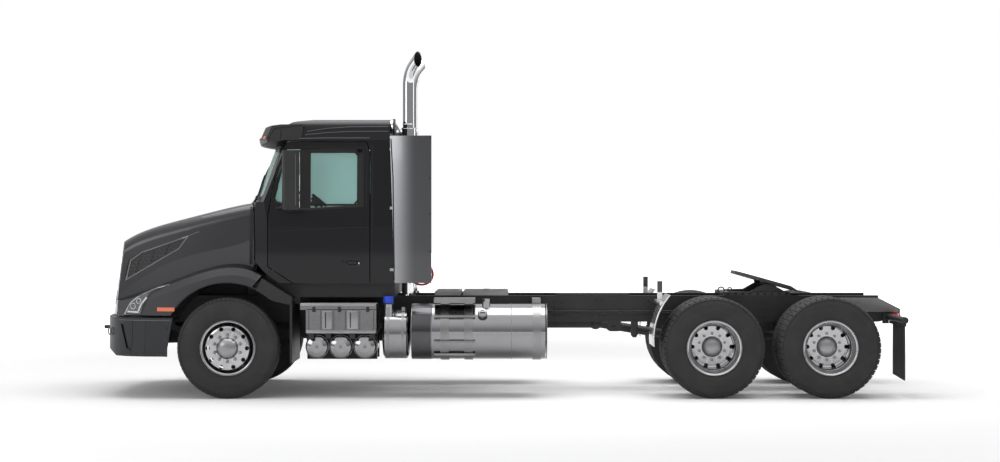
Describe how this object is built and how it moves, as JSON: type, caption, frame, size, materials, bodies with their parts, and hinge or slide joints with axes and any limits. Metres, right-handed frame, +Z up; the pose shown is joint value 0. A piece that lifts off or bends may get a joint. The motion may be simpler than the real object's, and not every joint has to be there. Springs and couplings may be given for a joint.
{
  "type": "semi truck tractor unit",
  "caption": "Conventional day-cab truck tractor with long hood, tandem drive axles on twin wheels, fifth wheel, side tanks and twin upright exhaust stacks",
  "frame": {"origin": "on the ground under the middle of the vehicle's box", "axes": "+X to the rear, +Y to the vehicle's right side, +Z up"},
  "size_m": [8.908, 2.69, 3.8096],
  "materials": {
    "chassis_black": "satin black paint",
    "cast_black": "painted casting",
    "bumper_paint": "charcoal metallic with a dark moulded lower edge",
    "body_paint": "charcoal metallic clear coat",
    "fairing_paint": "charcoal metallic clear coat",
    "dark_plastic": "moulded black",
    "grille_black": "black mesh",
    "seat_fabric": "woven seat cloth",
    "stack_chrome": "chrome",
    "polished_aluminium": "polished",
    "strap_steel": "stainless straps with black hangers",
    "blue_plastic": "moulded blue",
    "deck_aluminium": "serrated tread",
    "fender_steel": "bright sheet",
    "flap_rubber": "black rubber",
    "lamp_red": "red lens",
    "lamp_amber": "amber lens",
    "lamp_glass": "clear lens",
    "fifth_wheel_black": "greased casting",
    "hose_red": "red air line",
    "fitting_brass": "cast fittings",
    "glass": "tinted safety glass",
    "tyre_rubber": "black rubber",
    "wheel_aluminium": "polished forged wheel"
  },
  "bodies": {
    "chassis": {"frame_rails": "chassis_black", "front_axle": "cast_black", "front_springs": "cast_black", "rear_axles": "cast_black", "rear_suspension": "chassis_black", "engine": "cast_black", "driveline": "cast_black", "radiator": "cast_black", "front_bumper": "bumper_paint", "sun_visor": "dark_plastic", "seats": "seat_fabric", "dashboard": "dark_plastic", "side_fairings": "fairing_paint", "exhaust_stacks": "stack_chrome", "battery_box": "polished_aluminium", "aftertreatment": "polished_aluminium", "air_tanks": "polished_aluminium", "urea_tank": "polished_aluminium", "urea_cap": "blue_plastic", "fuel_tanks": "polished_aluminium", "tank_straps": "strap_steel", "cab_mounts": "chassis_black", "deck_plate": "deck_aluminium", "fender_extensions": "dark_plastic", "quarter_fenders": "fender_steel", "mud_flap_hangers": "chassis_black", "mud_flaps": "flap_rubber", "tail_lamps": "lamp_red", "fifth_wheel_base": "fifth_wheel_black", "air_hose": "hose_red", "hose_fittings": "fitting_brass", "cab_body": "body_paint", "cab_roof": "body_paint", "cab_glass": "glass"},
    "hood": {"hood_shell": "body_paint", "hood_grilles": "grille_black", "headlamps": "lamp_glass", "side_markers": "lamp_amber"},
    "left_door": {"left_door": "body_paint", "left_door_glass": "glass", "left_mirror": "dark_plastic"},
    "right_door": {"right_door": "body_paint", "right_door_glass": "glass", "right_mirror": "dark_plastic"},
    "left_knuckle": {"left_knuckle": "cast_black"},
    "right_knuckle": {"right_knuckle": "cast_black"},
    "fifth_wheel": {"fifth_wheel_plate": "fifth_wheel_black"},
    "front_left_wheel": {"tyre_front_left": "tyre_rubber", "wheel_front_left": "wheel_aluminium"},
    "rear_1_left_wheels": {"tyres_rear_1_left": "tyre_rubber", "wheels_rear_1_left": "wheel_aluminium"},
    "rear_2_left_wheels": {"tyres_rear_2_left": "tyre_rubber", "wheels_rear_2_left": "wheel_aluminium"},
    "front_right_wheel": {"tyre_front_right": "tyre_rubber", "wheel_front_right": "wheel_aluminium"},
    "rear_1_right_wheels": {"tyres_rear_1_right": "tyre_rubber", "wheels_rear_1_right": "wheel_aluminium"},
    "rear_2_right_wheels": {"tyres_rear_2_right": "tyre_rubber", "wheels_rear_2_right": "wheel_aluminium"}
  },
  "joints": [
    {"name": "hood_tilt", "type": "hinge", "parent": "chassis", "child": "hood", "pos_m": [-4.321, 0, 0.96], "axis": [0, -1, 0], "range_deg": [0, 65]},
    {"name": "left_door_hinge", "type": "hinge", "parent": "chassis", "child": "left_door", "pos_m": [-2.536, -1.07, 1.7], "axis": [0, 0, -1], "range_deg": [0, 70]},
    {"name": "right_door_hinge", "type": "hinge", "parent": "chassis", "child": "right_door", "pos_m": [-2.536, 1.07, 1.7], "axis": [0, 0, 1], "range_deg": [0, 70]},
    {"name": "left_steer", "type": "hinge", "parent": "chassis", "child": "left_knuckle", "pos_m": [-2.95, -0.9, 0.545], "axis": [0, 0, 1], "range_deg": [-38, 38]},
    {"name": "right_steer", "type": "hinge", "parent": "chassis", "child": "right_knuckle", "pos_m": [-2.95, 0.9, 0.545], "axis": [0, 0, 1], "range_deg": [-38, 38]},
    {"name": "fifth_wheel_rock", "type": "hinge", "parent": "chassis", "child": "fifth_wheel", "pos_m": [2.984, 0, 1.18], "axis": [0, -1, 0], "range_deg": [0, 26]},
    {"name": "front_left_spin", "type": "hinge", "parent": "left_knuckle", "child": "front_left_wheel", "pos_m": [-2.95, -1.095, 0.545], "axis": [0, 1, 0], "continuous": true},
    {"name": "rear_1_left_spin", "type": "hinge", "parent": "chassis", "child": "rear_1_left_wheels", "pos_m": [2.281, -0.93, 0.545], "axis": [0, 1, 0], "continuous": true},
    {"name": "rear_2_left_spin", "type": "hinge", "parent": "chassis", "child": "rear_2_left_wheels", "pos_m": [3.53, -0.93, 0.545], "axis": [0, 1, 0], "continuous": true},
    {"name": "front_right_spin", "type": "hinge", "parent": "right_knuckle", "child": "front_right_wheel", "pos_m": [-2.95, 1.095, 0.545], "axis": [0, 1, 0], "continuous": true},
    {"name": "rear_1_right_spin", "type": "hinge", "parent": "chassis", "child": "rear_1_right_wheels", "pos_m": [2.281, 0.93, 0.545], "axis": [0, 1, 0], "continuous": true},
    {"name": "rear_2_right_spin", "type": "hinge", "parent": "chassis", "child": "rear_2_right_wheels", "pos_m": [3.53, 0.93, 0.545], "axis": [0, 1, 0], "continuous": true}
  ],
  "couplings": [
    {"joint": "right_steer", "follows": "left_steer", "ratio": 1}
  ]
}
